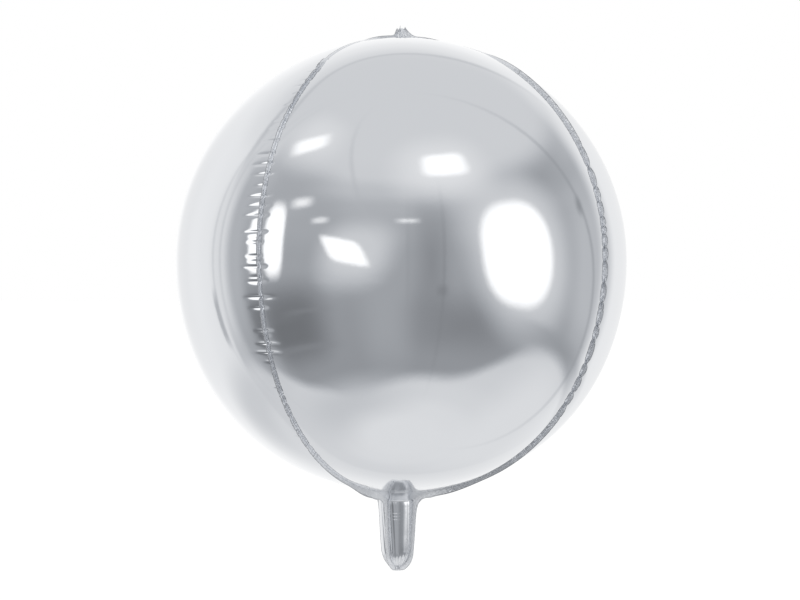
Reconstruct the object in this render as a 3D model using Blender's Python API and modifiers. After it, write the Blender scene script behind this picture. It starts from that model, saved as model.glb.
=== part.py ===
"""Round foil balloon, 40 cm across: four silvered gores, their welds, the crown and the filling tail.

Units are metres and +Z is up. The origin is the centre of the round envelope. The middle of the
front gore faces -Y.
"""

import math

import bmesh
import bpy
from mathutils import Matrix, Vector

GORE_RADIUS = 0.200  # envelope radius at the middle of a gore
WELD_RADIUS = 0.1965  # envelope radius at a weld, which the gores bulge past
TOP_HEIGHT = 0.1973  # of the upper half, without the crown's rise
BOTTOM_HEIGHT = 0.2043  # of the lower half, without the neck's drop
BOTTOM_FULLNESS = 0.05  # how much fuller than an ellipse the lower half is
FILM = 0.0015  # wall of a gore
TAIL_FILM = 0.0010  # wall of the tail
WELD_THICK = 0.0010  # the two margins welded face to face
WELD_WIDTH = 0.0027  # how far a weld stands out from the film
NECK_WELD_WIDTH = 0.0065  # it flares to this towards the neck
FLARE_START = 0.085  # radii between which it flares
FLARE_END = 0.040
WELD_LIP = 0.0006  # clear of the film's bulge, where a weld reaches its full thickness
WELD_PINCH = 0.9  # a weld's share of its thickness at its root
GAP = 0.0003  # clearance between pieces that touch

CROWN_START = 0.045  # the envelope starts to rise towards the crown here
CROWN_RISE = 0.0045  # how far the crown is drawn up
NECK_RADIUS = 0.017  # the film folds into the tail here
NECK_START = 0.045  # the envelope starts to draw down towards the neck here
NECK_DROP = 0.0089  # how far the neck is drawn down
NECK_RINGS = (0.017, 0.0205, 0.0265, 0.035)
NECK_OFFSET = Vector((-0.0035, 0.0007, 0))  # how far off the ball's axis the neck and the tail hang
OFFSET_START = -0.190  # heights between which the film moves over to there
OFFSET_END = -0.212
CROWN_RINGS = (0.022, 0.011, 0.0024)  # the last one leaves the hole for the crown gather
GATHER_RADIUS = 0.0020
GATHER_HEIGHT = 0.0040  # how far the crown gather stands above the pole

GORE_STEPS = 12  # panels across a gore
HALF_ROWS = 13  # rows of panels from the equator to the neck's start or to the first crown ring
TAIL_STEPS = 6
WELD_ROWS = 44

GORES = (("front", -90), ("right", 0), ("back", 90), ("left", 180))  # name, azimuth in degrees

# Weld name, azimuth in degrees, height of its ear's peak, radius of its ear's peak
WELDS = (
    ("front_left", -135, 0.2131, 0.0030),
    ("front_right", -45, 0.2117, 0.0042),
    ("back_right", 45, 0.2108, 0.0034),
    ("back_left", 135, 0.2119, 0.0043),
)
EAR_BASE = 0.015  # radius at which a weld starts to rise into its ear
EAR_BASE_WIDTH = 0.0030
EAR_TAPER_START = 0.040  # radius at which a weld starts to widen towards its ear
EAR_CURL = 0.0035  # how far outside its peak an ear's edge turns upwards
EAR_STEPS = 6
EAR_SHOULDER = 0.004  # an ear's inner side is this much lower than its peak

# The tail from its fold to its end: height, radius at the middle of a film, radius at a weld,
# width of the weld
TAIL_SECTIONS = (
    (-0.2129, 0.0172, 0.0163, 0.0070),
    (-0.2152, 0.0171, 0.0162, 0.0068),
    (-0.2190, 0.0169, 0.0160, 0.0055),
    (-0.2238, 0.0166, 0.0158, 0.0050),
    (-0.2418, 0.0155, 0.0147, 0.0047),
    (-0.2570, 0.0144, 0.0137, 0.0044),
    (-0.2621, 0.0137, 0.0131, 0.0044),
    (-0.2672, 0.0115, 0.0110, 0.0044),
    (-0.2709, 0.0082, 0.0078, 0.0044),
    (-0.2730, 0.0049, 0.0047, 0.0044),
    (-0.2737, 0.0026, 0.0024, 0.0044),
)
TAIL_TIP = 0.0211  # radius over the tail welds
SWEEP_RADIUS = 0.012  # a weld's edge turns from the envelope into the tail on this arc
SWEEP_END = math.radians(145)  # where on that arc the tail weld takes over
SWEEP_RINGS = (0.0331, 0.0275, 0.0220, 0.0167)

SILVER = (0.86, 0.87, 0.89)
WELD_SILVER = (0.74, 0.75, 0.78)


def foil(name, colour, roughness):
    """Silvered film."""
    material = bpy.data.materials.new(name)
    material.use_nodes = True
    shader = material.node_tree.nodes["Principled BSDF"]
    shader.inputs["Base Color"].default_value = (*colour, 1)
    shader.inputs["Metallic"].default_value = 1
    shader.inputs["Roughness"].default_value = roughness
    return material


def envelope_height(radius, equator, upper):
    """Height of the envelope at a radius, on the meridian with this radius at the equator."""
    rise = math.sqrt(1 - (radius / equator) ** 2)
    middle = radius * GORE_RADIUS / equator
    if upper:
        return TOP_HEIGHT * rise + CROWN_RISE * max(1 - middle / CROWN_START, 0) ** 2
    full = rise * (1 + BOTTOM_FULLNESS * (1 - rise**2))
    share = (NECK_START - middle) / (NECK_START - NECK_RADIUS)
    return -BOTTOM_HEIGHT * full - NECK_DROP * max(share, 0) ** 2


def neck_offset(height):
    """How far the film at this height has moved over to the neck."""
    share = min(max((OFFSET_START - height) / (OFFSET_START - OFFSET_END), 0), 1)
    return NECK_OFFSET * share**2 * (3 - 2 * share)


def film_point(height, middle, weld, across):
    """A point on a film that faces +X, with across running from -1 to 1 between its two welds.

    The film's section is an arc through its middle and both welds.
    """
    centre = (middle**2 - weld**2) / (2 * middle - math.sqrt(2) * weld)
    bend = middle - centre
    margin = WELD_THICK / 2 + GAP
    reach = math.acos((math.sqrt(2) * margin - centre) / (math.sqrt(2) * bend)) - math.pi / 4
    return centre + bend * math.cos(across * reach), bend * math.sin(across * reach), height


def sheet(name, azimuth, rows, columns, place, wall, offset, material):
    """A grid bent into a sheet by place(row, column), turned to its azimuth and given its wall."""
    turn = Matrix.Rotation(math.radians(azimuth), 3, "Z")
    grid = bmesh.new()
    bmesh.ops.create_grid(grid, x_segments=columns, y_segments=rows, size=1)
    for vertex in grid.verts:
        row = round((vertex.co.y + 1) / 2 * rows)
        column = round((vertex.co.x + 1) / 2 * columns)
        point = turn @ Vector(place(row, column))
        vertex.co = point + neck_offset(point.z)
    mesh = bpy.data.meshes.new(name)
    grid.to_mesh(mesh)
    grid.free()
    mesh.shade_smooth()
    mesh.set_sharp_from_angle(angle=math.radians(40))
    mesh.materials.append(material)
    piece = bpy.data.objects.new(name, mesh)
    shell = piece.modifiers.new("wall", "SOLIDIFY")
    shell.thickness = wall
    shell.offset = offset
    balloon.objects.link(piece)
    return piece


def film(name, azimuth, sections, columns, wall):
    """One side of the envelope or of the tail, from its sections in rising order."""

    def place(row, column):
        height, middle, weld = sections[row][:3]
        return film_point(height, middle, weld, 2 * column / columns - 1)

    sheet(name, azimuth, len(sections) - 1, columns, place, wall, -1, foil(name, SILVER, 0.08))


def gore_sections():
    """Heights and radii of the envelope from the neck to the crown."""
    low = -math.acos(NECK_START / GORE_RADIUS)
    high = math.acos(CROWN_RINGS[0] / GORE_RADIUS)
    below = [GORE_RADIUS * math.cos(low * (1 - i / HALF_ROWS)) for i in range(HALF_ROWS)]
    above = [GORE_RADIUS * math.cos(high * i / HALF_ROWS) for i in range(HALF_ROWS)]
    rings = [(ring, False) for ring in (*NECK_RINGS, *below)]
    rings += [(ring, True) for ring in (*above, *CROWN_RINGS)]
    share = WELD_RADIUS / GORE_RADIUS
    return [(envelope_height(ring, GORE_RADIUS, up), ring, ring * share) for ring, up in rings]


def outward(line, index, distance):
    """A point at this distance outside a falling line of radii and heights."""
    before = line[max(index - 1, 0)]
    after = line[min(index + 1, len(line) - 1)]
    run = after[0] - before[0]
    fall = before[1] - after[1]
    length = math.hypot(run, fall)
    radius, height = line[index]
    return radius + distance * fall / length, height + distance * run / length


def weld_plate(name, azimuth, line, edge, root_depth):
    """A plate in the weld's plane, pinched at its root in the film's wall and flat from there out."""
    last = len(line) - 1
    columns = (
        [outward(line, i, -root_depth) for i in range(last + 1)],
        [outward(line, i, WELD_LIP) for i in range(last + 1)],
        edge,
    )

    def place(row, column):
        radius, height = columns[2 - column][row]
        return radius, 0, height

    piece = sheet(name, azimuth, last, 2, place, WELD_THICK, 0, foil(name, WELD_SILVER, 0.25))
    bare = piece.vertex_groups.new(name="bare")
    row_length = len(columns)
    bare.add([i for i in range(len(piece.data.vertices)) if i % row_length < 2], 1, "REPLACE")
    piece.modifiers["wall"].vertex_group = bare.name
    piece.modifiers["wall"].thickness_vertex_group = WELD_PINCH


def weld_line_point(radius, upper):
    return radius, envelope_height(radius, WELD_RADIUS, upper)


def weld_width(radius, upper):
    """A weld widens a little before its ear, and more before the neck."""
    start, end, width = FLARE_START, FLARE_END, NECK_WELD_WIDTH
    if upper:
        start, end, width = EAR_TAPER_START, EAR_BASE, EAR_BASE_WIDTH
    share = min(max((start - radius) / (start - end), 0), 1)
    return WELD_WIDTH + (width - WELD_WIDTH) * share


def ear_edge(peak_radius, peak_height, base):
    """The ear's inner shoulder and peak, then a concave edge out to the base."""
    turn = (peak_radius + EAR_CURL, TOP_HEIGHT + CROWN_RISE + EAR_BASE_WIDTH)
    edge = [(GATHER_RADIUS + GAP, peak_height - EAR_SHOULDER)]
    for i in range(EAR_STEPS):
        t = i / EAR_STEPS
        weights = ((1 - t) ** 2, 2 * t * (1 - t), t**2)
        corners = ((peak_radius, peak_height), turn, base)
        edge.append(tuple(sum(w * c[axis] for w, c in zip(weights, corners)) for axis in (0, 1)))
    return edge


def envelope_weld(name, azimuth, peak_height, peak_radius):
    """A weld from its ear at the crown to the middle of its sweep into the tail."""
    inner = GATHER_RADIUS + GAP
    ear_rings = [inner + (EAR_BASE - inner) * i / (EAR_STEPS + 1) for i in range(EAR_STEPS + 1)]
    high = math.acos(EAR_BASE / WELD_RADIUS)
    low = -math.acos(SWEEP_RINGS[0] / WELD_RADIUS)
    latitudes = [high + (low - high) * i / WELD_ROWS for i in range(WELD_ROWS)]
    rings = [(ring, True) for ring in ear_rings]
    rings += [(WELD_RADIUS * math.cos(a), a > 0) for a in latitudes]
    rings += [(ring, False) for ring in SWEEP_RINGS]
    line = [weld_line_point(ring, upper) for ring, upper in rings]

    centre = (TAIL_TIP + SWEEP_RADIUS, line[-len(SWEEP_RINGS)][1] - NECK_WELD_WIDTH - SWEEP_RADIUS)
    turn = [
        math.pi / 2 + (SWEEP_END - math.pi / 2) * i / len(SWEEP_RINGS)
        for i in range(len(SWEEP_RINGS) + 1)
    ]
    sweep = [
        (centre[0] + SWEEP_RADIUS * math.cos(a), centre[1] + SWEEP_RADIUS * math.sin(a)) for a in turn
    ]
    line.append((TAIL_SECTIONS[1][2], sweep[-1][1]))

    first = len(ear_rings)
    plain = [
        outward(line, i, weld_width(*rings[i])) for i in range(first, len(line) - len(sweep))
    ]
    edge = ear_edge(peak_radius, peak_height, plain[0]) + plain + sweep
    weld_plate(name, azimuth, line, edge, FILM)


def tail_weld(name, azimuth):
    """A weld from below its sweep to the tail's end."""
    line = [(weld, height) for height, _, weld, _ in TAIL_SECTIONS[1:]]
    edge = [outward(line, i, TAIL_SECTIONS[i + 1][3]) for i in range(len(line))]
    edge[0] = (edge[0][0], line[0][1])
    inner = GATHER_RADIUS + GAP
    edge[-1] = (inner, edge[-1][1])
    weld_plate(name, azimuth, line, edge, TAIL_FILM)


def gather(name, low, high):
    """A bunch of film on the axis, rounded at both ends."""
    bunch = bmesh.new()
    bmesh.ops.create_cone(
        bunch, cap_ends=True, segments=16, radius1=GATHER_RADIUS, radius2=GATHER_RADIUS, depth=high - low
    )
    mesh = bpy.data.meshes.new(name)
    bunch.to_mesh(mesh)
    bunch.free()
    mesh.shade_smooth()
    mesh.set_sharp_from_angle(angle=math.radians(40))
    mesh.materials.append(foil(name, WELD_SILVER, 0.25))
    piece = bpy.data.objects.new(name, mesh)
    piece.location = Vector((0, 0, (low + high) / 2)) + neck_offset(high)
    rounding = piece.modifiers.new("rounding", "BEVEL")
    rounding.width = GATHER_RADIUS * 0.4
    rounding.segments = 2
    balloon.objects.link(piece)


for leftover in list(bpy.data.objects):
    bpy.data.objects.remove(leftover)

balloon = bpy.data.collections.new("round_foil_balloon")
bpy.context.scene.collection.children.link(balloon)

for side, azimuth in GORES:
    film(f"gore_{side}", azimuth, gore_sections(), GORE_STEPS, FILM)
    film(f"tail_{side}", azimuth, TAIL_SECTIONS[::-1], TAIL_STEPS, TAIL_FILM)

for corner, azimuth, peak_height, peak_radius in WELDS:
    envelope_weld(f"weld_{corner}", azimuth, peak_height, peak_radius)
    tail_weld(f"tail_weld_{corner}", azimuth)

tail_end = TAIL_SECTIONS[-1][0]
crown_height = TOP_HEIGHT + CROWN_RISE
gather("crown_gather", crown_height - FILM, crown_height + GATHER_HEIGHT)
gather("tail_gather", tail_end - TAIL_SECTIONS[-1][3], tail_end + TAIL_FILM)
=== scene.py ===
import math
import random

import bpy
import numpy as np
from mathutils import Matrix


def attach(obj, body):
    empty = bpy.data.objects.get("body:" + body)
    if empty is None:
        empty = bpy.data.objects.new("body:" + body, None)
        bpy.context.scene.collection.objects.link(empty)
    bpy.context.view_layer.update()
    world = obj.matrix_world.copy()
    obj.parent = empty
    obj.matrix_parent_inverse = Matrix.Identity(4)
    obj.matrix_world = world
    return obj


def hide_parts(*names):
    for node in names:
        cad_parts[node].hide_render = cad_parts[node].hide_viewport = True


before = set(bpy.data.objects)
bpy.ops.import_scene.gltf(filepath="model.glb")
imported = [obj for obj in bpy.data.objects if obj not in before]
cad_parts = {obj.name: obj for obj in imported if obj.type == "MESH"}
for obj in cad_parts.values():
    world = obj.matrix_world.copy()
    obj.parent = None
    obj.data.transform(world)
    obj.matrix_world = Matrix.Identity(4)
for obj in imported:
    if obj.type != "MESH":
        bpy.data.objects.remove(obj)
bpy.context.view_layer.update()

# Camera. A 50 mm lens about a metre from the balloon, level, a little below its middle and to the
# left of the front gore.
CAMERA_PLACE = (-0.2017, -0.9824, -0.0342)
CAMERA_TURN = math.radians(-11.52)
CAMERA_LENS = 50

bpy.ops.object.camera_add(location=CAMERA_PLACE, rotation=(math.radians(90), 0, CAMERA_TURN))
bpy.context.object.data.lens = CAMERA_LENS
bpy.context.scene.camera = bpy.context.object
bpy.context.scene.view_settings.view_transform = "Standard"

# Floor. A pale studio floor well below the floating balloon, fading to white far off. The balloon
# mirrors the studio that the world draws, so the floor is left out of its reflections.
FLOOR_HEIGHT = -1.3
FLOOR_SIZE = 2000
FLOOR_GREY = 0.93
FLOOR_ROUGHNESS = 0.9
FLOOR_FADE_START = 1.5  # distances from the floor's middle between which it fades to white
FLOOR_FADE_END = 4.5

bpy.ops.mesh.primitive_plane_add(size=FLOOR_SIZE, location=(0, 0, FLOOR_HEIGHT))
floor = bpy.context.object
floor.name = "studio_floor"
floor.visible_glossy = False
paint = bpy.data.materials.new("floor_paint")
paint.use_nodes = True
nodes, links = paint.node_tree.nodes, paint.node_tree.links
coordinates = nodes.new("ShaderNodeTexCoord")
distance = nodes.new("ShaderNodeVectorMath")
distance.operation = "LENGTH"
links.new(coordinates.outputs["Object"], distance.inputs[0])
fade = nodes.new("ShaderNodeMapRange")
fade.interpolation_type = "SMOOTHSTEP"
fade.inputs["From Min"].default_value = FLOOR_FADE_START
fade.inputs["From Max"].default_value = FLOOR_FADE_END
fade.inputs["To Min"].default_value = FLOOR_GREY
links.new(distance.outputs["Value"], fade.inputs["Value"])
shader = nodes["Principled BSDF"]
shader.inputs["Roughness"].default_value = FLOOR_ROUGHNESS
shader.inputs["Specular IOR Level"].default_value = 0
links.new(fade.outputs["Result"], shader.inputs["Base Color"])
floor.data.materials.append(paint)

# Studio. What the foil mirrors: a grey room with a white sweep below and behind the balloon, soft
# boxes and lamps in front of it. Azimuth runs from the camera to its right, in degrees.
ROOM_TURN = math.radians(11.6)  # the camera's azimuth round the balloon
FOIL_SHARE = 0.88  # what the foil gives back of the light
FILL_LIGHT = 1.06  # on matt surfaces, so that the floor comes out as white as the background
ROOM_TINT = (0.965, 0.998, 1.052)  # the room's darker parts are a little cool
TINT_START = 0.22  # light levels between which the tint fades out
TINT_END = 1.0
ROOM = (
    # elevation, grey
    (-90, 150), (-50, 148), (-25, 150), (0, 160), (15, 167), (24, 176), (32, 190), (40, 204),
    (50, 206), (60, 206), (90, 206),
)
SWEEP_EDGE = (
    # azimuth and elevation of the front edge of the white sweep
    (-180, -30), (-125, -33), (-92, -33), (-84, -40.5), (-75, -47), (-62, -53), (-50, -58),
    (-38, -59), (-20, -57), (0, -53.5), (18, -52), (32, -51.5), (42, -49.5), (51, -46), (60, -41),
    (70, -35), (80, -31), (92, -28), (110, -25.5), (130, -22), (180, -24),
)
SWEEP_SOFTNESS = 4.5
SWEEP_GREYS = (
    # elevation, grey
    (-90, 219), (-80, 219), (-70, 217), (-60, 211), (-48, 206), (-36, 202), (-25, 196),
)
BACKDROP_GREYS = (
    # elevation, grey
    (-90, 214), (-55, 215), (-35, 224), (0, 228), (32, 228), (42, 221), (54, 212),
)
CARDS = (
    # name, azimuth, elevation, half width, half height, roll, slant, squareness, softness, grey
    # (none where it takes the backdrop's greys), strength
    ("backdrop_rim", 203, 10, 59, 46.6, 0, 0, 3.5, 1.0, 188, 0.8),
    ("backdrop", 203, 0, 58, 55, 0, 0, 3.5, 1.5, None, 1),
    ("backdrop_glow", 188, 2, 39, 33, 0, 0, 2.5, 28, 247, 0.95),
    ("shade_left", -140, 6, 14, 28, 0, 0, 3, 10, 227, 0.9),
    ("shade_low_left", -119, -38, 22, 9, 0, 0, 3, 7, 200, 0.9),
    ("room_left", -63, -24, 17, 14, 0, 0, 3, 8, 118, 1),
    ("room_front", -9, -24, 11, 20, 0, 0, 3, 9, 162, 0.9),
    ("room_middle", 14, -2, 6, 20, 0, 0, 3, 9, 138, 1),
    ("room_right", 34, -27, 20, 9, 0, 0, 3, 9, 130, 0.9),
    ("room_top_left", -66, 29, 18, 8, 0, 0, 4, 7, 166, 0.9),
    ("room_high_left", -45, 20, 10, 6, 0, 0, 3, 6, 164, 0.8),
    ("room_top_right", 85, 31, 26, 6.5, 0, 0, 3, 7, 158, 1),
    ("sweep_shade_left", -60, -62, 24, 9, 0, 0, 3, 8, 194, 0.9),
    ("sweep_light_right", 125, -50, 26, 22, 0, 0, 3, 12, 220, 0.9),
    ("glow_right", 62, 5, 28, 30, 0, -0.25, 2.4, 11, 206, 0.95),
    ("wall_right", 117, 0, 21, 20, 0, 0, 3, 9, 184, 1),
    ("wall_far_right", 145, 0, 20, 36, 0, 0, 3, 8, 231, 1),
    ("skirting_right", 104, -24.5, 22, 2.6, 0, 0, 6, 3, 152, 1),
    ("corner_right", 111, 10, 0.8, 28, 0, -0.3, 8, 1.8, 146, 0.75),
    ("knob_right", 107.5, 17, 2.2, 2.2, 0, 0, 2.5, 2, 140, 0.8),
    ("softbox_right", 59.5, 4, 20.6, 20.6, 0, -0.12, 2.5, 2.5, 262, 1),
    ("wall_left", -86.5, 3, 6, 30, 0, 0, 3, 4, 178, 0.9),
    ("wall_far_left", -98, 4, 6.5, 30, 0, 0, 4, 4, 218, 0.95),
    ("pole_far", -102.8, 6, 0.6, 24, 0, 0, 6, 1.2, 196, 0.8),
    ("pole_near", -96.8, 6, 0.6, 26, 0, 0, 6, 1.2, 192, 0.8),
    ("stand", -103.8, -15, 1.7, 7, 0, 0, 6, 0.8, 172, 0.9),
    ("window_left", -69.9, 8.5, 6.1, 13.7, 0, 0, 3, 1.2, 262, 1),
    ("glow_front", -24, 3, 17, 13, 0, 0.3, 2.4, 7, 206, 0.9),
    ("softbox_front", -30, 3.6, 10.3, 5.0, -9, -0.85, 5, 1.0, 262, 1),
    ("glow_top", 23, 43, 18, 13, 0, 0, 2.5, 9, 224, 0.9),
    ("softbox_top", 26, 45, 9.9, 5.4, 0, 0, 4, 1.5, 262, 1),
    ("glow_strip", -69, 53, 11, 8, 0, 0, 2.5, 6, 220, 0.8),
    ("strip_top", -70.5, 48.8, 7.6, 3.2, 36, 0, 4, 1.5, 262, 1),
    ("oval_left", -56.5, 24.2, 4.6, 1.8, 12, 0, 3, 1.5, 240, 1),
    ("lamp_left", -44, 17.1, 3.8, 1.2, 7, 0, 3, 0.8, 225, 1),
    ("lamp_front", 2, 17.8, 4, 0.8, 0, 0, 4, 0.8, 240, 1),
    ("corner_left", -32.5, 42, 15.5, 0.7, -66.5, 0, 8, 1.2, 180, 0.5),
    ("bench_left", -66, -26, 9, 4, 0, 0, 6, 1.5, 112, 0.6),
    ("bench_edge", -60, -33, 14, 1.2, -4, 0, 6, 1, 136, 0.6),
    ("shelf_left", -52, -19, 10, 0.8, 0, 0, 6, 0.8, 136, 0.5),
    ("post_middle", 20, -12, 0.7, 26, 0, 0, 6, 0.8, 128, 0.45),
    ("post_front", 2, -10, 0.8, 22, 0, 0, 6, 1, 150, 0.4),
    ("tripod_head", 19.5, -13, 2.4, 2, 0, 0, 3, 1.5, 126, 0.6),
    ("ledge_front", -28, -8.5, 12, 1, -2, 0, 6, 1, 190, 0.35),
)


def light(grey):
    """Light from the room that the foil shows as this sRGB grey of a picture, 0 to 255."""
    return ((grey / 255 + 0.055) / 1.055) ** 2.4 / FOIL_SHARE


world = bpy.data.worlds.new("studio")
bpy.context.scene.world = world
world.use_nodes = True
nodes, links = world.node_tree.nodes, world.node_tree.links


def math_node(nodes, links, operation, *values):
    """The result of an operation on values, each a number or another node's output."""
    node = nodes.new("ShaderNodeMath")
    node.operation = operation
    for socket, value in zip(node.inputs, values):
        if isinstance(value, bpy.types.NodeSocket):
            links.new(value, socket)
        else:
            socket.default_value = value
    return node.outputs[0]


def step_node(nodes, links, value, low, high, to_low=0.0, to_high=1.0):
    """A smooth step from one value to another as its input goes from low to high."""
    node = nodes.new("ShaderNodeMapRange")
    node.interpolation_type = "SMOOTHSTEP"
    names = ("Value", "From Min", "From Max", "To Min", "To Max")
    for name, entry in zip(names, (value, low, high, to_low, to_high)):
        if isinstance(entry, bpy.types.NodeSocket):
            links.new(entry, node.inputs[name])
        else:
            node.inputs[name].default_value = entry
    return node.outputs["Result"]


def card_group():
    """The mask of one soft-edged patch of the room, placed by its azimuth and elevation."""
    group = bpy.data.node_groups.new("studio_card", "ShaderNodeTree")
    names = (
        "Azimuth", "Elevation", "Centre Azimuth", "Centre Elevation", "Squeeze", "Half Width",
        "Half Height", "Roll", "Slant", "Squareness", "Softness",
    )
    for name in names:
        group.interface.new_socket(name, in_out="INPUT", socket_type="NodeSocketFloat")
    group.interface.new_socket("Mask", in_out="OUTPUT", socket_type="NodeSocketFloat")
    nodes, links = group.nodes, group.links
    given = nodes.new("NodeGroupInput").outputs
    across = math_node(nodes, links, "SUBTRACT", given["Azimuth"], given["Centre Azimuth"])
    across = math_node(nodes, links, "WRAP", across, 180, -180)
    across = math_node(nodes, links, "MULTIPLY", across, given["Squeeze"])
    up = math_node(nodes, links, "SUBTRACT", given["Elevation"], given["Centre Elevation"])
    place = nodes.new("ShaderNodeCombineXYZ")
    links.new(across, place.inputs[0])
    links.new(up, place.inputs[1])
    turn = nodes.new("ShaderNodeVectorRotate")
    turn.rotation_type = "Z_AXIS"
    links.new(place.outputs[0], turn.inputs["Vector"])
    links.new(given["Roll"], turn.inputs["Angle"])
    parts = nodes.new("ShaderNodeSeparateXYZ")
    links.new(turn.outputs[0], parts.inputs[0])
    lean = math_node(nodes, links, "MULTIPLY", parts.outputs[1], given["Slant"])
    level = math_node(nodes, links, "SUBTRACT", parts.outputs[0], lean)
    sides = []
    for part, half in ((level, "Half Width"), (parts.outputs[1], "Half Height")):
        off = math_node(nodes, links, "DIVIDE", math_node(nodes, links, "ABSOLUTE", part), given[half])
        sides.append(math_node(nodes, links, "POWER", off, given["Squareness"]))
    root = math_node(nodes, links, "DIVIDE", 1, given["Squareness"])
    reach = math_node(nodes, links, "POWER", math_node(nodes, links, "ADD", *sides), root)
    shorter = math_node(nodes, links, "MINIMUM", given["Half Width"], given["Half Height"])
    past = math_node(nodes, links, "MULTIPLY", math_node(nodes, links, "SUBTRACT", reach, 1), shorter)
    inner = math_node(nodes, links, "MULTIPLY", given["Softness"], -1)
    made = nodes.new("NodeGroupOutput")
    links.new(step_node(nodes, links, past, inner, given["Softness"], 1.0, 0.0), made.inputs["Mask"])
    return group


def ramp_node(nodes, links, value, low, high, stops):
    """A smooth line of light through the stops, each given as a grey at its value."""
    above = math_node(nodes, links, "SUBTRACT", value, low)
    share = math_node(nodes, links, "DIVIDE", above, high - low)
    node = nodes.new("ShaderNodeValToRGB")
    node.color_ramp.interpolation = "EASE"
    stops = sorted(stops)
    elements = node.color_ramp.elements
    while len(elements) < len(stops):
        elements.new(0.5)
    for element, (place, grey) in zip(elements, stops):
        element.position = (place - low) / (high - low)
    for element, (place, grey) in zip(elements, stops):
        element.color = (light(grey), light(grey), light(grey), 1)
    links.new(share, node.inputs[0])
    return node.outputs["Color"]


coordinates = nodes.new("ShaderNodeTexCoord")
turn = nodes.new("ShaderNodeVectorRotate")
turn.rotation_type = "Z_AXIS"
turn.inputs["Angle"].default_value = ROOM_TURN
links.new(coordinates.outputs["Generated"], turn.inputs["Vector"])
parts = nodes.new("ShaderNodeSeparateXYZ")
links.new(turn.outputs[0], parts.inputs[0])
towards = math_node(nodes, links, "MULTIPLY", parts.outputs[1], -1)
azimuth = math_node(nodes, links, "ARCTAN2", parts.outputs[0], towards)
azimuth = math_node(nodes, links, "DEGREES", azimuth)
elevation = math_node(nodes, links, "DEGREES", math_node(nodes, links, "ARCSINE", parts.outputs[2]))

room = ramp_node(nodes, links, elevation, -90, 90, ROOM)
sweep = ramp_node(nodes, links, elevation, -90, 90, SWEEP_GREYS)
edge_share = math_node(nodes, links, "DIVIDE", math_node(nodes, links, "ADD", azimuth, 180), 360)
edge_curve = nodes.new("ShaderNodeFloatCurve")
points = edge_curve.mapping.curves[0].points
while len(points) < len(SWEEP_EDGE):
    points.new(0.5, 0.5)
for index, (edge_azimuth, edge_elevation) in enumerate(SWEEP_EDGE):
    points[index].location = ((edge_azimuth + 180) / 360, (edge_elevation + 90) / 180)
edge_curve.mapping.update()
links.new(edge_share, edge_curve.inputs["Value"])
edge = math_node(nodes, links, "MULTIPLY_ADD", edge_curve.outputs["Value"], 180, -90)
above = math_node(nodes, links, "SUBTRACT", elevation, edge)
sweep_mask = step_node(nodes, links, above, -SWEEP_SOFTNESS, SWEEP_SOFTNESS, 1.0, 0.0)
studio_card = card_group()


def card_mask(
    nodes, links, name, card_azimuth, card_elevation, width, height, roll, slant, squareness, softness
):
    """Where a card of the table above shows, from 0 to 1."""
    card = nodes.new("ShaderNodeGroup")
    card.node_tree = studio_card
    card.label = name
    links.new(azimuth, card.inputs["Azimuth"])
    links.new(elevation, card.inputs["Elevation"])
    card.inputs["Centre Azimuth"].default_value = card_azimuth
    card.inputs["Centre Elevation"].default_value = card_elevation
    card.inputs["Squeeze"].default_value = math.cos(math.radians(card_elevation))
    card.inputs["Half Width"].default_value = width
    card.inputs["Half Height"].default_value = height
    card.inputs["Roll"].default_value = math.radians(-roll)
    card.inputs["Slant"].default_value = slant
    card.inputs["Squareness"].default_value = squareness
    card.inputs["Softness"].default_value = softness
    return card.outputs["Mask"]


def laid_over(nodes, links, share, below, above):
    """One light over another where the share is 1."""
    shown = nodes.new("ShaderNodeMix")
    shown.data_type = "RGBA"
    links.new(share, shown.inputs["Factor"])
    links.new(below, shown.inputs["A"])
    if isinstance(above, bpy.types.NodeSocket):
        links.new(above, shown.inputs["B"])
    else:
        shown.inputs["B"].default_value = (above, above, above, 1)
    return shown.outputs["Result"]


picture = laid_over(nodes, links, sweep_mask, room, sweep)
for *card, grey, strength in CARDS:
    share = math_node(nodes, links, "MULTIPLY", card_mask(nodes, links, *card), strength)
    above = light(grey) if grey else ramp_node(nodes, links, elevation, -90, 90, BACKDROP_GREYS)
    picture = laid_over(nodes, links, share, picture, above)

tint = nodes.new("ShaderNodeMix")
tint.data_type = "RGBA"
tint.blend_type = "MULTIPLY"
links.new(step_node(nodes, links, picture, TINT_START, TINT_END, 1.0, 0.0), tint.inputs["Factor"])
links.new(picture, tint.inputs["A"])
tint.inputs["B"].default_value = (*ROOM_TINT, 1)
picture = tint.outputs["Result"]

# The camera and matt surfaces see plain white instead.
path = nodes.new("ShaderNodeLightPath")
links.new(picture, nodes["Background"].inputs["Color"])
shown = nodes["Background"].outputs[0]
for seen_by, brightness in (("Is Diffuse Ray", FILL_LIGHT), ("Is Camera Ray", 1)):
    white = nodes.new("ShaderNodeBackground")
    white.inputs["Color"].default_value = (1, 1, 1, 1)
    white.inputs["Strength"].default_value = brightness
    chosen = nodes.new("ShaderNodeMixShader")
    links.new(path.outputs[seen_by], chosen.inputs[0])
    links.new(shown, chosen.inputs[1])
    links.new(white.outputs[0], chosen.inputs[2])
    shown = chosen.outputs[0]
links.new(shown, nodes["World Output"].inputs["Surface"])

# Only mirror images show the lamps of the room, so no shadow rays are sent to them.
world.cycles.sampling_method = "NONE"

# Gores. Four leaves of one silvered film, vacuum-coated metal under clear polymer, blown up to a
# quarter of the ball each, from the crown to the fold at the neck. Each is one thin sheet whose
# edges lie in the welds.
FOIL_COLOUR = (0.862, 0.875, 0.897)
PEEL_DETAIL = 2
CLOUD_SCALE = 14  # of the slow changes in the haze
CLOUD_DETAIL = 3


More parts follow.
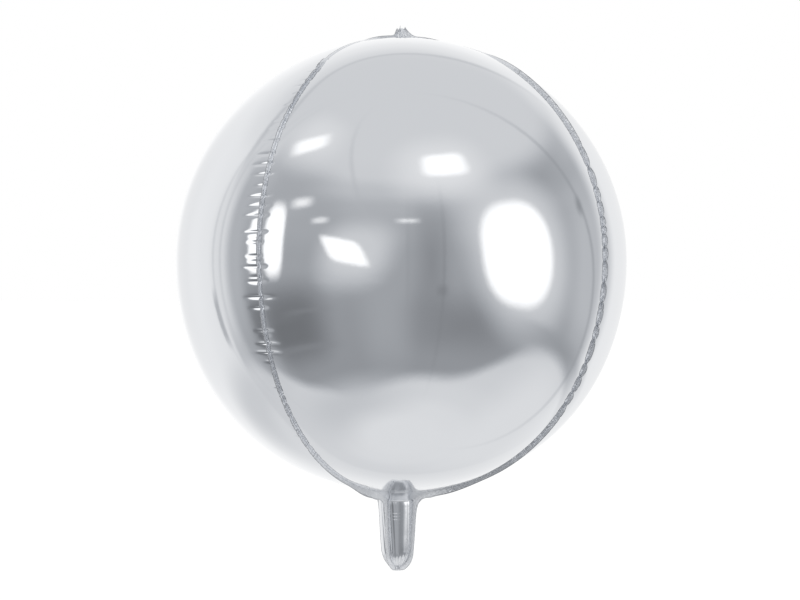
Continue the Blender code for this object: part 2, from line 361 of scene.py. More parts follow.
def foil_group():
    """The orange peel and the uneven haze that the film and the welds share."""
    group = bpy.data.node_groups.new("foil_skin", "ShaderNodeTree")
    for name in ("Grain", "Haze", "Haze Spread"):
        group.interface.new_socket(name, in_out="INPUT", socket_type="NodeSocketFloat")
    for name in ("Roughness", "Height"):
        group.interface.new_socket(name, in_out="OUTPUT", socket_type="NodeSocketFloat")
    nodes, links = group.nodes, group.links
    given = nodes.new("NodeGroupInput").outputs
    coordinates = nodes.new("ShaderNodeTexCoord")
    peel = nodes.new("ShaderNodeTexNoise")
    links.new(coordinates.outputs["Object"], peel.inputs["Vector"])
    links.new(given["Grain"], peel.inputs["Scale"])
    peel.inputs["Detail"].default_value = PEEL_DETAIL
    clouds = nodes.new("ShaderNodeTexNoise")
    links.new(coordinates.outputs["Object"], clouds.inputs["Vector"])
    clouds.inputs["Scale"].default_value = CLOUD_SCALE
    clouds.inputs["Detail"].default_value = CLOUD_DETAIL
    cloud = clouds.outputs["Fac"]
    haze = math_node(nodes, links, "MULTIPLY_ADD", cloud, given["Haze Spread"], given["Haze"])
    made = nodes.new("NodeGroupOutput")
    links.new(haze, made.inputs["Roughness"])
    links.new(peel.outputs["Fac"], made.inputs["Height"])
    return group


foil_skin = foil_group()


def foil(name, colour, grain, bump, haze, haze_spread):
    """Silvered film with its own grain and haze."""
    material = bpy.data.materials.new(name)
    material.use_nodes = True
    nodes, links = material.node_tree.nodes, material.node_tree.links
    shader = nodes["Principled BSDF"]
    shader.inputs["Base Color"].default_value = (*colour, 1)
    shader.inputs["Metallic"].default_value = 1
    skin = nodes.new("ShaderNodeGroup")
    skin.node_tree = foil_skin
    skin.inputs["Grain"].default_value = grain
    skin.inputs["Haze"].default_value = haze
    skin.inputs["Haze Spread"].default_value = haze_spread
    relief = nodes.new("ShaderNodeBump")
    relief.inputs["Distance"].default_value = bump
    links.new(skin.outputs["Height"], relief.inputs["Height"])
    links.new(skin.outputs["Roughness"], shader.inputs["Roughness"])
    links.new(relief.outputs["Normal"], shader.inputs["Normal"])
    return material


# Two gores are welded edge to edge on four lines from the crown to the neck. Gas draws each line up,
# so it kinks, and short creases run from the kinks into both films.
GORE_RADIUS = 0.200
WELD_RADIUS = 0.1965
CREASE_HALF_WIDTH = 0.0008
CREASE_SPREAD = 0.03  # how much wider a crease gets with its distance from the weld
CREASE_FADE = 1.3  # where a crease has faded out, in its own lengths
CREASE_SHARPNESS = 1.5

LEFT_CREASES = (
    # latitude in degrees, length into the film before and after the weld in mm, depth in mm
    (32.3, 8, 2, 0.3), (30.3, 9, 3, 0.4), (26.9, 10, 3, 0.45), (23.4, 13, 3, 0.7),
    (20.9, 13, 3, 0.9), (18.4, 11, 6, 0.8), (15.6, 9, 2, 0.6), (13.2, 14, 8, 0.9),
    (11.0, 12, 7, 0.7), (8.8, 15, 6, 0.9), (5.1, 13, 7, 0.8), (4.1, 8, 2, 0.4),
    (2.8, 9, 3, 0.7), (-0.2, 10, 2, 0.7), (-1.3, 8, 3, 0.5), (-2.4, 13, 7, 0.8),
    (-4.5, 8, 3, 0.5), (-5.4, 9, 6, 0.8), (-8.6, 13, 12, 0.9), (-10.8, 9, 6, 0.8),
    (-15.6, 8, 7, 0.8), (-16.7, 4, 4, 0.5), (-18.4, 9, 10, 0.9), (-20.4, 12, 10, 0.9),
    (-22.5, 6, 1, 0.4),
)


def drawn_creases(seed, low, high, spacing, before, after, depth):
    """Creases at uneven steps between two latitudes, as in the table above."""
    draw = random.Random(seed)
    latitude = low
    found = []
    while latitude < high:
        found.append((
            latitude,
            before * draw.uniform(0.5, 1.5),
            after * draw.uniform(0.5, 1.5),
            depth * draw.uniform(0.5, 1.2),
        ))
        latitude += spacing * draw.uniform(0.6, 1.4)
    return tuple(found)


WELD_CREASES = {
    # azimuth of the weld: its creases
    -135: (
        *LEFT_CREASES,
        *drawn_creases(3, 34, 58, 3, 6, 3, 0.4),
        *drawn_creases(4, -55, -25, 3, 4, 2, 0.3),
    ),
    -45: drawn_creases(5, -38, 30, 3.6, 4, 3, 0.6),
    45: drawn_creases(6, -45, 45, 3.2, 9, 8, 0.7),
    135: drawn_creases(7, -45, 45, 3.4, 9, 9, 0.7),
}


def crease_depth(weld, side, along, away):
    """How deep the film lies in the weld's creases, at a distance along it and away from it."""
    depth = np.zeros(np.broadcast(along, away).shape)
    for crease in WELD_CREASES[weld]:
        reach = crease[side] / 1000
        centre = GORE_RADIUS * math.radians(crease[0])
        fade = np.clip(1 - away / (CREASE_FADE * reach), 0, 1)
        width = CREASE_HALF_WIDTH + CREASE_SPREAD * away
        across = np.abs((along - centre) / width)
        depth += crease[3] / 1000 * fade * np.exp(-(across**CREASE_SHARPNESS))
    return depth


FILM = 0.0002
MARGIN = 0.0001  # between a gore's edge and the middle of the weld
SEAM = 0.000005  # how near the two sides of a closed piece's seam lie before they are merged
GORE_ROWS = 790
GORE_COLUMNS = 50
FOLD_ROWS = 14
COLUMN_GROWTH = 3.0  # how much closer the columns lie towards the welds
CROWN_RADIUS = 0.0024
TOP_HEIGHT = 0.1973
BOTTOM_HEIGHT = 0.2043
BOTTOM_FULLNESS = 0.05
CROWN_START = 0.045
CROWN_RISE = 0.0045
NECK_RADIUS = 0.017
NECK_START = 0.045
NECK_DROP = 0.0089
NECK_OFFSET = (-0.0035, 0.0007, 0)  # how far off the ball's axis the neck and the tail hang
OFFSET_START = 0.190  # depths below the middle between which the film moves over to there
OFFSET_END = 0.212
NECK_HAZE = 0.11  # roughness that is added at the neck
NECK_HAZE_START = 0.200  # distances from the equator between which the film grows hazy
NECK_HAZE_END = 0.255
FOLD_BEND = 0.0020  # radius of the fold from the gore into the tail
FOLD_SLOPE = math.radians(35)  # the gore's slope where that fold starts
FOLD_START = 0.0180
TAIL_LOBE = 0.947  # radius at a weld as a share of the radius at a film's middle, in the tail
GORES = (("front", -90), ("right", 0), ("back", 90), ("left", 180))


def smoothstep(value, start, end):
    """A smooth rise from 0 to 1 as the value goes from start to end."""
    share = np.clip((value - start) / (end - start), 0, 1)
    return share**2 * (3 - 2 * share)


def envelope_height(radius, equator, upper):
    """Height of the envelope at a radius, on the meridian with this radius at the equator."""
    rise = np.sqrt(1 - (radius / equator) ** 2)
    middle = radius * GORE_RADIUS / equator
    top = TOP_HEIGHT * rise + CROWN_RISE * np.clip(1 - middle / CROWN_START, 0, None) ** 2
    full = rise * (1 + BOTTOM_FULLNESS * (1 - rise**2))
    share = (NECK_START - middle) / (NECK_START - NECK_RADIUS)
    return np.where(upper, top, -BOTTOM_HEIGHT * full - NECK_DROP * np.clip(share, 0, None) ** 2)


def film_section(middle, weld):
    """Centre, radius and half angle of the arc through a film's middle and both its edges."""
    centre = (middle**2 - weld**2) / (2 * middle - math.sqrt(2) * weld)
    bend = middle - centre
    reach = np.arccos((math.sqrt(2) * MARGIN - centre) / (math.sqrt(2) * bend)) - math.pi / 4
    return centre, bend, reach


def turned(place, azimuth):
    """Places turned round the ball's axis to an azimuth in degrees."""
    turn = math.radians(azimuth)
    return np.stack((
        place[..., 0] * math.cos(turn) - place[..., 1] * math.sin(turn),
        place[..., 0] * math.sin(turn) + place[..., 1] * math.cos(turn),
        place[..., 2],
    ), axis=-1)


def sheet_grid(name, rows, columns):
    """A flat grid, and its vertices' rows and columns as shares from -1 to 1."""
    bpy.ops.object.select_all(action="DESELECT")
    bpy.ops.mesh.primitive_grid_add(
        x_subdivisions=columns, y_subdivisions=rows, size=2, location=(0, 0, 0)
    )
    piece = bpy.context.object
    piece.name = name
    flat = np.empty(len(piece.data.vertices) * 3)
    piece.data.vertices.foreach_get("co", flat)
    flat = flat.reshape(-1, 3)
    return piece, flat[:, 0], flat[:, 1]


def finish_sheet(piece, place, along, away, wall, offset, material, node, closed=False):
    """Moves a grid's vertices to their places, unrolls it on a map in metres and gives it its wall."""
    mesh = piece.data
    place = place + smoothstep(-place[:, 2:], OFFSET_START, OFFSET_END) * np.array(NECK_OFFSET)
    mesh.vertices.foreach_set("co", place.ravel())
    corners = np.empty(len(mesh.loops), dtype=int)
    mesh.loops.foreach_get("vertex_index", corners)
    unrolled = np.stack((np.broadcast_to(away, along.shape)[corners], along[corners]), axis=1)
    mesh.uv_layers[0].name = "film"
    mesh.uv_layers[0].data.foreach_set("uv", unrolled.ravel())
    mesh.update()
    if closed:
        bpy.ops.object.mode_set(mode="EDIT")
        bpy.ops.mesh.select_all(action="SELECT")
        bpy.ops.mesh.remove_doubles(threshold=SEAM)
        bpy.ops.mesh.normals_make_consistent(inside=False)
        bpy.ops.object.mode_set(mode="OBJECT")
    skin = piece.modifiers.new("wall", "SOLIDIFY")
    skin.thickness = wall
    skin.offset = offset
    bpy.ops.object.modifier_apply(modifier="wall")
    bpy.ops.object.shade_smooth()
    mesh.materials.append(material)
    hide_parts(*node)
    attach(piece, "root")


foil_film = foil("foil_film", FOIL_COLOUR, grain=260, bump=0.00001, haze=0.045, haze_spread=0.03)

# Towards the neck the film is drawn together in fine creases, which blur what it mirrors.
nodes, links = foil_film.node_tree.nodes, foil_film.node_tree.links
unrolled = nodes.new("ShaderNodeUVMap")
unrolled.uv_map = "film"
parts = nodes.new("ShaderNodeSeparateXYZ")
links.new(unrolled.outputs[0], parts.inputs[0])
drawn = step_node(nodes, links, parts.outputs[1], -NECK_HAZE_END, -NECK_HAZE_START, NECK_HAZE, 0.0)
haze = nodes["Principled BSDF"].inputs["Roughness"].links[0].from_socket
links.new(math_node(nodes, links, "ADD", haze, drawn), nodes["Principled BSDF"].inputs["Roughness"])

low = -math.acos(FOLD_START / GORE_RADIUS)
high = math.acos(CROWN_RADIUS / GORE_RADIUS)
latitudes = low + (high - low) * np.arange(GORE_ROWS + 1 - FOLD_ROWS) / (GORE_ROWS - FOLD_ROWS)
ring = GORE_RADIUS * np.cos(latitudes)
ring_height = envelope_height(ring, GORE_RADIUS, latitudes > 0)
ring_weld = ring * WELD_RADIUS / GORE_RADIUS
slope = FOLD_SLOPE + (math.pi / 2 - FOLD_SLOPE) * np.arange(FOLD_ROWS, 0, -1) / FOLD_ROWS
fold = FOLD_START - FOLD_BEND * (np.sin(slope) - math.sin(FOLD_SLOPE))
fold_height = ring_height[0] - FOLD_BEND * (math.cos(FOLD_SLOPE) - np.cos(slope))
fold_share = (slope - FOLD_SLOPE) / (math.pi / 2 - FOLD_SLOPE)
fold_weld = fold * (WELD_RADIUS / GORE_RADIUS * (1 - fold_share) + TAIL_LOBE * fold_share)
ring = np.concatenate((fold, ring))
ring_height = np.concatenate((fold_height, ring_height))
ring_weld = np.concatenate((fold_weld, ring_weld))
ring_along = np.concatenate((np.full(FOLD_ROWS, low), latitudes)) * GORE_RADIUS

for side, azimuth in GORES:
    gore, across, up = sheet_grid(f"film_{side}", GORE_ROWS, GORE_COLUMNS)
    row = np.rint((up + 1) / 2 * GORE_ROWS).astype(int)
    centre, bend, reach = film_section(ring[row], ring_weld[row])
    along = ring_along[row]
    share = np.expm1(COLUMN_GROWTH * (1 - np.abs(across))) / math.expm1(COLUMN_GROWTH)
    across = np.sign(across) * (1 - share)
    angle = across * reach
    place = np.stack((centre + bend * np.cos(angle), bend * np.sin(angle), ring_height[row]), axis=1)
    sunk = np.zeros(len(place))
    for edge, weld, which in ((-1, azimuth - 45, 2), (1, azimuth + 45, 1)):
        weld = (weld + 180) % 360 - 180
        away = bend * reach * np.abs(edge - across)
        sunk += crease_depth(weld, which, along, away)
    out = place / np.linalg.norm(place, axis=1)[:, None]
    place = turned(place - out * sunk[:, None], azimuth)
    finish_sheet(gore, place, along, bend * angle, FILM, -1, foil_film, [f"gore_{side}"])

# Tail films. The four films run on below the neck as a short four-lobed filling tube, closed at its
# end, where they are drawn together. Soft creases run down them.
TAIL_FILM = 0.0002
TAIL_ROWS = 150
TAIL_COLUMNS = 56
TAIL_SECTIONS = (
    # height, radius at the middle of a film, radius at a weld, width of the weld
    (-0.2133, 0.0171, 0.0162, 0.0070), (-0.2152, 0.0171, 0.0162, 0.0068),
    (-0.2190, 0.0169, 0.0160, 0.0055), (-0.2238, 0.0166, 0.0158, 0.0050),
    (-0.2418, 0.0155, 0.0147, 0.0047), (-0.2570, 0.0144, 0.0137, 0.0044),
    (-0.2621, 0.0137, 0.0131, 0.0044), (-0.2672, 0.0115, 0.0110, 0.0044),
    (-0.2709, 0.0082, 0.0078, 0.0044), (-0.2730, 0.0049, 0.0047, 0.0044),
    (-0.2737, 0.0026, 0.0024, 0.0044),
)
TAIL_END_CREASES = 7  # creases across one film that run into the drawn-together end
TAIL_END_START = -0.2590  # height where they start, and how far down they reach their full depth
TAIL_END_REACH = 0.008
TAIL_END_DEPTH = 0.0007
TAIL_END_RADIUS = 0.010  # radius from which they fade towards the axis
TAIL_FOLDS = 7  # soft folds down each side of a film, none in its middle
TAIL_FOLD_START = 0.30  # shares of a film's half width between which the folds set in
TAIL_FOLD_END = 0.55
TAIL_FOLD_DRIFT = 0.012  # length in which a fold moves over by a sixth of its pitch
TAIL_FOLD_DEPTH = 0.00016
TAIL_TICKS = (-0.2232, -0.2259, -0.2286)  # heights of three short creases across a film
TAIL_TICK_PLACE = -0.34  # shares of the film's half width: their middle, and where they fade
TAIL_TICK_START = 0.18
TAIL_TICK_END = 0.34
TAIL_TICK_DEPTH = 0.00016
TAIL_TICK_WIDTH = 0.0006


def smooth_line(points, count):
    """A line of evenly spaced points on the smooth curve through the points, with its stations."""
    points = np.array(points)
    stations = np.concatenate(((0,), np.cumsum(np.linalg.norm(np.diff(points[:, :2], axis=0), axis=1))))
    slopes = np.gradient(points, stations, axis=0)
    wanted = np.linspace(0, stations[-1], count)
    before = np.clip(np.searchsorted(stations, wanted, side="right") - 1, 0, len(points) - 2)
    step = (stations[before + 1] - stations[before])[:, None]
    share = (wanted - stations[before])[:, None] / step
    rest = 1 - share
    start = (1 + 2 * share) * rest**2 * points[before] + share * rest**2 * step * slopes[before]
    end = share**2 * (3 - 2 * share) * points[before + 1] - share**2 * rest * step * slopes[before + 1]
    return start + end, wanted


tail_line, tail_station = smooth_line(TAIL_SECTIONS, TAIL_ROWS + 1)
tail_film = foil("tail_film", FOIL_COLOUR, grain=260, bump=0.00003, haze=0.08, haze_spread=0.05)

for number, (side, azimuth) in enumerate(GORES):
    tail, across, up = sheet_grid(f"tail_film_{side}", TAIL_ROWS, TAIL_COLUMNS)
    row = TAIL_ROWS - np.rint((up + 1) / 2 * TAIL_ROWS).astype(int)
    height, middle, weld = tail_line[row, :3].T
    centre, bend, reach = film_section(middle, weld)
    angle = across * reach
    gathered = np.clip((TAIL_END_START - height) / TAIL_END_REACH, 0, 1)
    wave = np.cos(TAIL_END_CREASES * math.pi * across + number) * (1 - across**2)
    towards_axis = np.clip(middle / TAIL_END_RADIUS, 0, 1)
    bend = bend - TAIL_END_DEPTH * gathered * (0.5 + 0.5 * wave) * towards_axis
    outer = smoothstep(np.abs(across), TAIL_FOLD_START, TAIL_FOLD_END) * (1 - across**6) * (1 - gathered)
    folds = TAIL_FOLDS * math.pi * across + height / TAIL_FOLD_DRIFT + 2 * number
    bend = bend + TAIL_FOLD_DEPTH * outer * np.sin(folds)
    short = 1 - smoothstep(np.abs(across - TAIL_TICK_PLACE), TAIL_TICK_START, TAIL_TICK_END)
    for tick in TAIL_TICKS:
        bend = bend - TAIL_TICK_DEPTH * short * np.exp(-(((height - tick) / TAIL_TICK_WIDTH) ** 2))
    place = np.stack((centre + bend * np.cos(angle), bend * np.sin(angle), height), axis=1)
    finish_sheet(
        tail, turned(place, azimuth), tail_station[row], bend * angle, TAIL_FILM, -1, tail_film,
        [f"tail_{side}"],
    )
    gore = bpy.data.objects[f"film_{side}"]

# Welds. The margins of two gores, welded face to face, stand out as a stiff ribbon all the way from
# an ear at the crown to the end of the tail. Its outer edge is too long for the blown-up ball, so
# the ribbon sways, curls and crinkles between the kinks of the weld line.
WELD_WIDTH = 0.0027
NECK_WELD_WIDTH = 0.0065  # it flares to this towards the neck
FLARE_START = 0.085  # radii between which it flares
FLARE_END = 0.040
GATHER_RADIUS = 0.0020  # of the bunch between the ears
GAP = 0.0003  # between it and an ear
EAR_BASE = 0.015  # radius where the ear starts to stand up
EAR_BASE_WIDTH = 0.0030
EAR_TAPER_START = 0.040
EAR_CURL = 0.0035
EAR_SHOULDER = 0.004
EAR_CRUMPLE = 0.0007
EAR_CRUMPLE_START = 0.013  # radii between which the ear gets crumpled
EAR_CRUMPLE_END = 0.004
EAR_CRUMPLE_PITCH = 0.0016
EAR_CRUMPLE_TURNS = (7, 11)  # how far its two waves run over the width, in radians
TURN_RADIUS = 0.012  # radius of the ribbon edge's turn from under the ball down to the tail
TURN_TIP = 0.0211  # radius at which the turn would run straight down
TURN_END = math.radians(145)
TURN_RINGS = (0.0331, 0.0275, 0.0220, 0.0167)  # radii of the film above the turn
WELD_FILM = 0.00028
WELD_ROOT = 0.0005  # how far inside the film the ribbon starts
WELD_COLUMNS = 7
WELD_COLOUR = (0.86, 0.875, 0.90)
WELD_EDGE_SHADE_COLOUR = (0.42, 0.43, 0.45)  # painted shade: the ribbon's outer edge is painted this dark grey
BALL_BRIGHT = 0.78  # how much of the ribbon is still bright metal, on the ball and at the tail
TAIL_BRIGHT = 0.34
TAIL_DULL_START = -0.255  # distances from the equator along the ribbon between which that changes
TAIL_DULL_END = -0.285
EAR_EDGE_START = 0.285  # and between which the dark edge fades into the ear
EAR_EDGE_END = 0.300
EAR_EDGE_SHARE = 0.45
TAIL_EDGE_SHARE = 0.5
EAR_ROWS = 60
EAR_FRACTION = 1 / 7  # share of the ear's rows from its inner shoulder to its peak
BALL_ROWS = 1150
TAIL_RIBBON_ROWS = 190
CURL_START = 0.40  # shares of the width between which a ribbon turns from one lean to the other
CURL_END = 0.65
ROOT_SHARE = 0.12  # share of the width in which it comes up straight from the film
EDGE_DRAW = 0.8  # how far the edge follows the root into a crease
KINK_REACH = 0.006  # length in which the ribbon runs straight again past its last kink
KINK_SHARPNESS = 0.6
KINK_NEAR_LEAN = 24  # greatest leans of a drawn kink in degrees, near the film and at the edge
KINK_FAR_LEAN = 34
KINK_LEFT = 0.75  # least share of the ribbon's width that is left there
CRINKLE_RISE = 2  # degrees to each side of its lower end in which a stretch of crinkles sets in
CRINKLE_FALL = 3  # and to each side of its upper end in which it stops
CRINKLE_START = 0.05  # shares of the width between which crinkles grow to their full height
CRINKLE_END = 0.6
CRINKLE_WANDER = 2.6  # how far its crests wander from even steps, in radians
BALL_END = 1.3 * GORE_RADIUS  # distance from the equator along the ribbon where the ball ends
EDGE_SHADE_START = 0.78  # shares of the width between which the painted dark edge, painted shade, sets in
EDGE_SHADE_END = 0.92

WELDS = (
    # name, azimuth, height and radius of the ear's peak
    ("front_left", -135, 0.2131, 0.0030),
    ("front_right", -45, 0.2117, 0.0042),
    ("back_right", 45, 0.2108, 0.0034),
    ("back_left", 135, 0.2119, 0.0043),
)
PLAIN_LEANS = {
    # latitude, leans near the film and at the edge in degrees, towards the greater azimuth
    -135: (
        (-80, 0, 0), (-60, 5, -8), (-45, 6, 0), (30, 6, 0), (40, 30, 30), (50, 30, 20), (57, -60, -75),
        (74, -75, -80), (82, 0, 0), (90, 0, 0),
    ),
    -45: (
        (-80, 0, 0), (-60, -6, -6), (-40, -4, -6), (28, -4, 6), (50, 0, 10), (58, 30, 40), (65, 75, 80),
        (76, 75, 80), (83, 0, 0), (90, 0, 0),
    ),
    45: ((-80, 0, 0), (-60, -6, 10), (60, -6, 14), (90, 0, 0)),
    135: ((-80, 0, 0), (-60, 6, -10), (60, 6, -14), (90, 0, 0)),
}
RIGHT_KINKS = (
    # latitude, lean towards the front gore in degrees, share of the width left
    (27, 20, 0.9), (21.9, 55, 0.55), (16.9, 45, 0.7), (13.4, 40, 0.75), (9.7, 45, 0.7), (7.4, 40, 0.75),
    (5.6, 45, 0.7), (2.5, 50, 0.65), (-0.7, 45, 0.7), (-5.4, 50, 0.65), (-9.6, 45, 0.7), (-14.9, 50, 0.65),
    (-18.0, 45, 0.7), (-23.8, 50, 0.65), (-26.9, 45, 0.7), (-31.1, 50, 0.6), (-34.5, 30, 0.8),
)
WELD_CRINKLES = {
    # from latitude, to latitude, pitch in mm, height in mm
    -135: ((33, 54, 2.1, 0.30), (-52, -24, 3.4, 0.20)),
    -45: ((25, 55, 2.3, 0.55), (-57, -37, 4.5, 0.25)),
    45: ((-50, 50, 3.1, 0.3),),
    135: ((-50, 50, 2.8, 0.3),),
}
TAIL_LEANS = {
    # height, lean in degrees
    -135: ((-0.2780, -8), (-0.2400, -4), (-0.2200, -4), (-0.2100, 0)),
    -45: ((-0.2780, -8), (-0.2650, -16), (-0.2240, -12), (-0.2100, 0)),
    45: ((-0.2780, 10), (-0.2100, 0)),
    135: ((-0.2780, 5), (-0.2100, 0)),
}


def drawn_kinks(seed, creases):
    """A kink at each crease: its latitude, more lean near the film and at the edge, width left."""
    draw = random.Random(seed)
    return [
        (
            crease[0],
            draw.uniform(-KINK_NEAR_LEAN, KINK_NEAR_LEAN),
            draw.uniform(-KINK_FAR_LEAN, KINK_FAR_LEAN),
            draw.uniform(KINK_LEFT, 1),
        )
        for crease in sorted(creases)
    ]


WELD_KINKS = {
    -135: drawn_kinks(11, WELD_CREASES[-135]),
    -45: [(latitude, -lean, -lean, share) for latitude, lean, share in sorted(RIGHT_KINKS)],
    45: drawn_kinks(12, WELD_CREASES[45]),
    135: drawn_kinks(13, WELD_CREASES[135]),
}


def outward(line, distance):
    """The line set off to its outside; it falls from the crown to the tail."""
    step = np.gradient(line, axis=0)
    step /= np.linalg.norm(step, axis=1)[:, None]
    return line + np.stack((-step[:, 1], step[:, 0]), axis=1) * np.reshape(distance, (-1, 1))


def ribbon_lines(peak_height, peak_radius):
    """Root line, edge line and latitude in metres along the ball, of one ribbon from its ear down."""
    inner = GATHER_RADIUS + GAP
    ear_share = np.arange(EAR_ROWS) / EAR_ROWS
    ear = inner + (EAR_BASE - inner) * ear_share
    high = math.acos(EAR_BASE / WELD_RADIUS)
    low = -math.acos(TURN_RINGS[0] / WELD_RADIUS)
    ball_latitude = high + (low - high) * np.arange(BALL_ROWS) / BALL_ROWS
    radius = np.concatenate((ear, WELD_RADIUS * np.cos(ball_latitude)))
    latitude = np.concatenate((np.arccos(ear / WELD_RADIUS), ball_latitude))
    root = np.stack((radius, envelope_height(radius, WELD_RADIUS, latitude > 0)), axis=1)
    taper = WELD_WIDTH + (EAR_BASE_WIDTH - WELD_WIDTH) * smoothstep(-radius, -EAR_TAPER_START, -EAR_BASE)
    flare = WELD_WIDTH + (NECK_WELD_WIDTH - WELD_WIDTH) * smoothstep(-radius, -FLARE_START, -FLARE_END)
    edge = outward(root, np.where(latitude > 0, taper, flare))

    shoulder = np.array((inner, peak_height - EAR_SHOULDER))
    peak = np.array((peak_radius, peak_height))
    bow = np.array((peak_radius + EAR_CURL, TOP_HEIGHT + CROWN_RISE + EAR_BASE_WIDTH))
    rise = np.clip(ear_share / EAR_FRACTION, 0, 1)[:, None]
    t = np.clip((ear_share - EAR_FRACTION) / (1 - EAR_FRACTION), 0, 1)[:, None]
    bent = (1 - t) ** 2 * peak + 2 * t * (1 - t) * bow + t**2 * edge[EAR_ROWS]
    edge[:EAR_ROWS] = np.where(rise < 1, shoulder + (peak - shoulder) * rise, bent)

    rings = np.array(TURN_RINGS)
    turn_root = np.stack((rings, envelope_height(rings, WELD_RADIUS, False)), axis=1)
    centre = np.array((TURN_TIP + TURN_RADIUS, turn_root[0, 1] - NECK_WELD_WIDTH - TURN_RADIUS))
    angle = np.linspace(math.pi / 2, TURN_END, len(rings) + 1)
    turn_edge = centre + TURN_RADIUS * np.stack((np.cos(angle), np.sin(angle)), axis=1)
    tail = np.array([(section[2], section[0]) for section in TAIL_SECTIONS[1:]])
    tail_edge = outward(tail, [section[3] for section in TAIL_SECTIONS[1:]])
    tail_edge[0, 1] = tail[0, 1]
    tail_edge[-1, 0] = inner
    root_points = np.concatenate((turn_root, [(tail[0, 0], turn_edge[-1, 1])], tail[1:]))
    edge_points = np.concatenate((turn_edge, tail_edge[1:]))
    lines, stations = smooth_line(np.hstack((root_points, edge_points)), TAIL_RIBBON_ROWS + 1)
    root = np.concatenate((root, lines[:, :2]))
    edge = np.concatenate((edge, lines[:, 2:]))
    along = np.concatenate((latitude * GORE_RADIUS, low * GORE_RADIUS - stations))
    return root, edge, along


def ribbon_leans(azimuth, along):
    """Leans near the film and at the edge in degrees, and the width left, at each row."""
    kinks = np.array(WELD_KINKS[azimuth])
    place = np.radians(kinks[:, 0]) * GORE_RADIUS
    after = np.clip(np.searchsorted(place, along), 1, len(place) - 1)
    share = np.clip((along - place[after - 1]) / (place[after] - place[after - 1]), 0, 1)
    nearest = np.where(share < 0.5, after - 1, after)
    at_kink = 1 - (4 * share * (1 - share)) ** KINK_SHARPNESS
    beyond = np.clip(np.maximum(along - place[-1], place[0] - along) / KINK_REACH, 0, 1)
    at_kink = np.minimum(at_kink, 1 - beyond)
    latitudes, near, far = np.array(PLAIN_LEANS[azimuth]).T
    latitude = np.degrees(along / GORE_RADIUS)
    near = np.interp(latitude, latitudes, near) + kinks[nearest, 1] * at_kink
    far = np.interp(latitude, latitudes, far) + kinks[nearest, 2] * at_kink
    return near, far, 1 - (1 - kinks[nearest, 3]) * at_kink


def crinkle(along, pitch, height, phase):
    """A wave of this pitch and height in mm, uneven in both: slower waves stretch and lift it."""
    turns = 2 * math.pi * along * 1000 / pitch
    wave = np.sin(turns + phase + CRINKLE_WANDER * np.sin(turns / 3.7 + phase)) * height / 1000
    return wave * (0.65 + 0.35 * np.sin(turns / 5.3) + 0.3 * np.sin(turns / 2.3 + phase))


# Pressed between hot bars, the ribbon is finely crushed and partly dull, most of all at the tail.
# Its outer edge is painted dark, as painted shade.
weld_film = foil("weld_film", WELD_COLOUR, grain=380, bump=0.00050, haze=0.15, haze_spread=0.12)
nodes, links = weld_film.node_tree.nodes, weld_film.node_tree.links
unrolled = nodes.new("ShaderNodeUVMap")
unrolled.uv_map = "film"
parts = nodes.new("ShaderNodeSeparateXYZ")
links.new(unrolled.outputs[0], parts.inputs[0])
# Mask of the painted shade: a dark line painted along the ribbon's outer edge, fading at the ear and the
# tail.
edge_shade = step_node(nodes, links, parts.outputs[0], WELD_WIDTH * EDGE_SHADE_START, WELD_WIDTH * EDGE_SHADE_END)
on_ball = step_node(nodes, links, parts.outputs[1], TAIL_DULL_END, TAIL_DULL_START)
at_ear = step_node(nodes, links, parts.outputs[1], EAR_EDGE_START, EAR_EDGE_END, 1.0, EAR_EDGE_SHARE)
at_tail = math_node(nodes, links, "MULTIPLY_ADD", on_ball, 1 - TAIL_EDGE_SHARE, TAIL_EDGE_SHARE)
edge_shade = math_node(nodes, links, "MULTIPLY", edge_shade, at_ear)
edge_shade = math_node(nodes, links, "MULTIPLY", edge_shade, at_tail)
bright = math_node(nodes, links, "MULTIPLY_ADD", on_ball, BALL_BRIGHT - TAIL_BRIGHT, TAIL_BRIGHT)
links.new(bright, nodes["Principled BSDF"].inputs["Metallic"])
tone = nodes.new("ShaderNodeMix")
tone.data_type = "RGBA"
links.new(edge_shade, tone.inputs["Factor"])
tone.inputs["A"].default_value = (*WELD_COLOUR, 1)
tone.inputs["B"].default_value = (*WELD_EDGE_SHADE_COLOUR, 1)
links.new(tone.outputs["Result"], nodes["Principled BSDF"].inputs["Base Color"])

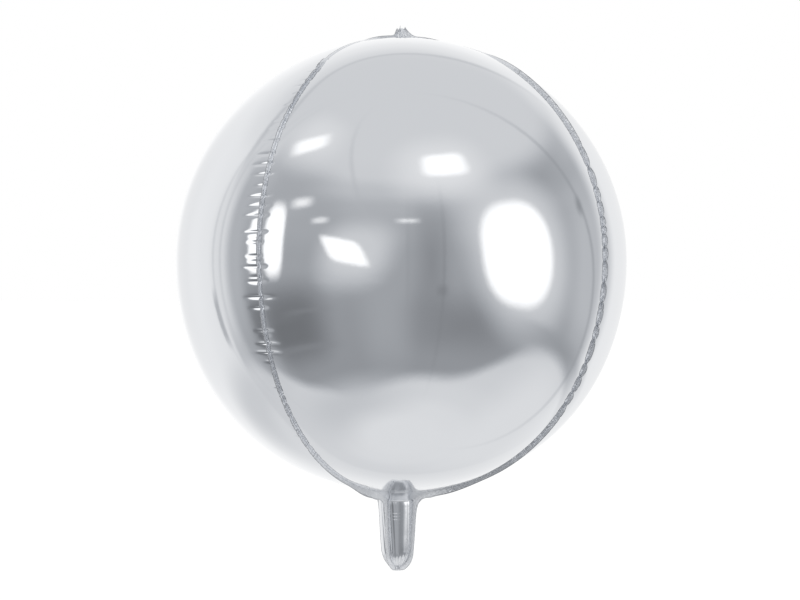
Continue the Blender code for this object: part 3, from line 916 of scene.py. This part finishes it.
for name, azimuth, peak_height, peak_radius in WELDS:
    root, edge, along = ribbon_lines(peak_height, peak_radius)
    rows = len(root)
    draw = random.Random(azimuth)
    lowered = crease_depth(azimuth, 1, along, np.zeros(rows)) * (np.abs(along) < BALL_END)
    inward = root / np.linalg.norm(root, axis=1)[:, None] * lowered[:, None]
    root = outward(root, -WELD_ROOT) - inward
    edge = edge - inward * EDGE_DRAW
    near_lean, far_lean, left = ribbon_leans(azimuth, along)
    heights, leans = np.array(TAIL_LEANS[azimuth]).T
    tail_lean = np.interp(root[:, 1], heights, leans) * (along < -BALL_END)
    near_lean = np.radians(near_lean + tail_lean)[:, None]
    far_lean = np.radians(far_lean + tail_lean)[:, None]

    share = np.arange(WELD_COLUMNS + 1)[None, :] / WELD_COLUMNS
    curl = smoothstep(share, CURL_START, CURL_END)
    lean = (near_lean * (1 - curl) + far_lean * curl) * smoothstep(share, 0, ROOT_SHARE)
    span = np.linalg.norm(edge - root, axis=1)[:, None] * left[:, None] / WELD_COLUMNS
    stand = np.zeros((rows, WELD_COLUMNS + 1))
    sideways = np.zeros((rows, WELD_COLUMNS + 1))
    middle_lean = (lean[:, 1:] + lean[:, :-1]) / 2
    stand[:, 1:] = np.cumsum(np.cos(middle_lean) * span, axis=1)
    sideways[:, 1:] = np.cumsum(np.sin(middle_lean) * span, axis=1)
    latitude = np.degrees(along / GORE_RADIUS)
    for low, high, pitch, height in WELD_CRINKLES[azimuth]:
        wave = crinkle(along, pitch, height, draw.uniform(0, 6))
        wave *= smoothstep(latitude, low - CRINKLE_RISE, low + CRINKLE_RISE)
        wave *= 1 - smoothstep(latitude, high - CRINKLE_FALL, high + CRINKLE_FALL)
        sideways += wave[:, None] * smoothstep(share, CRINKLE_START, CRINKLE_END)
    crumple = smoothstep(-root[:, 0], -EAR_CRUMPLE_START, -EAR_CRUMPLE_END) * (root[:, 1] > 0)
    first, second = EAR_CRUMPLE_TURNS
    wave = np.sin(along[:, None] / EAR_CRUMPLE_PITCH + share * first + azimuth)
    wave = wave + 0.6 * np.sin(share * second + azimuth)
    sideways += EAR_CRUMPLE * crumple[:, None] * share * wave

    direction = edge - root
    direction /= np.linalg.norm(direction, axis=1)[:, None]
    flat = root[:, None, :] + direction[:, None, :] * stand[:, :, None]
    place = np.stack((flat[:, :, 0], sideways, flat[:, :, 1]), axis=2)
    place = turned(place, azimuth)[::-1]

    ribbon, across, up = sheet_grid(f"weld_ribbon_{name}", rows - 1, WELD_COLUMNS)
    row = np.rint((up + 1) / 2 * (rows - 1)).astype(int)
    column = np.rint((across + 1) / 2 * WELD_COLUMNS).astype(int)
    finish_sheet(
        ribbon, place[row, column], along[::-1][row], column * WELD_WIDTH / WELD_COLUMNS, WELD_FILM, 0,
        weld_film, [f"weld_{name}", f"tail_weld_{name}"],
    )

# Gathers. At the crown and at the tail's end the four films are bunched on the axis, each a small
# pleated knot of film between the ears or the tail's welds.
GATHERS = (
    # name, node, pleats, twist, then its profile upwards: height and radius
    ("crown_bunch", "crown_gather", 9, 0.6, (
        (0.2005, 0.0062), (0.2022, 0.0060), (0.2042, 0.0053), (0.2062, 0.0044), (0.2082, 0.0034),
        (0.2098, 0.0024), (0.2108, 0.0012), (0.2111, 0),
    )),
    ("tail_bunch", "tail_gather", 7, 0.4, (
        (-0.2785, 0), (-0.2783, 0.0012), (-0.2775, 0.0024), (-0.2762, 0.0030), (-0.2748, 0.0030),
        (-0.2734, 0.0034), (-0.2724, 0.0036),
    )),
)
GATHER_SEGMENTS = 96
GATHER_ROWS = 30
PLEAT_DEPTH = 0.26  # share of the radius
PLEAT_START = 0.002  # radius from which the pleats fade towards the axis
PLEAT_UNEVENNESS = 0.8

for name, node, pleats, twist, profile in GATHERS:
    line, stations = smooth_line(profile, GATHER_ROWS + 1)
    bunch, across, up = sheet_grid(name, GATHER_ROWS, GATHER_SEGMENTS)
    row = np.rint((up + 1) / 2 * GATHER_ROWS).astype(int)
    height, radius = line[row].T
    angle = across * math.pi
    turned_angle = angle + twist * stations[row] / stations[-1]
    pleat = np.cos(pleats * turned_angle + PLEAT_UNEVENNESS * np.sin(2 * angle))
    radius = np.clip(radius, 0, None) * (1 + PLEAT_DEPTH * pleat * smoothstep(radius, 0, PLEAT_START))
    place = np.stack((radius * np.cos(angle), radius * np.sin(angle), height), axis=1)
    finish_sheet(
        bunch, place, stations[row], radius * angle, TAIL_FILM, -1, weld_film, [node],
        closed=True,
    )
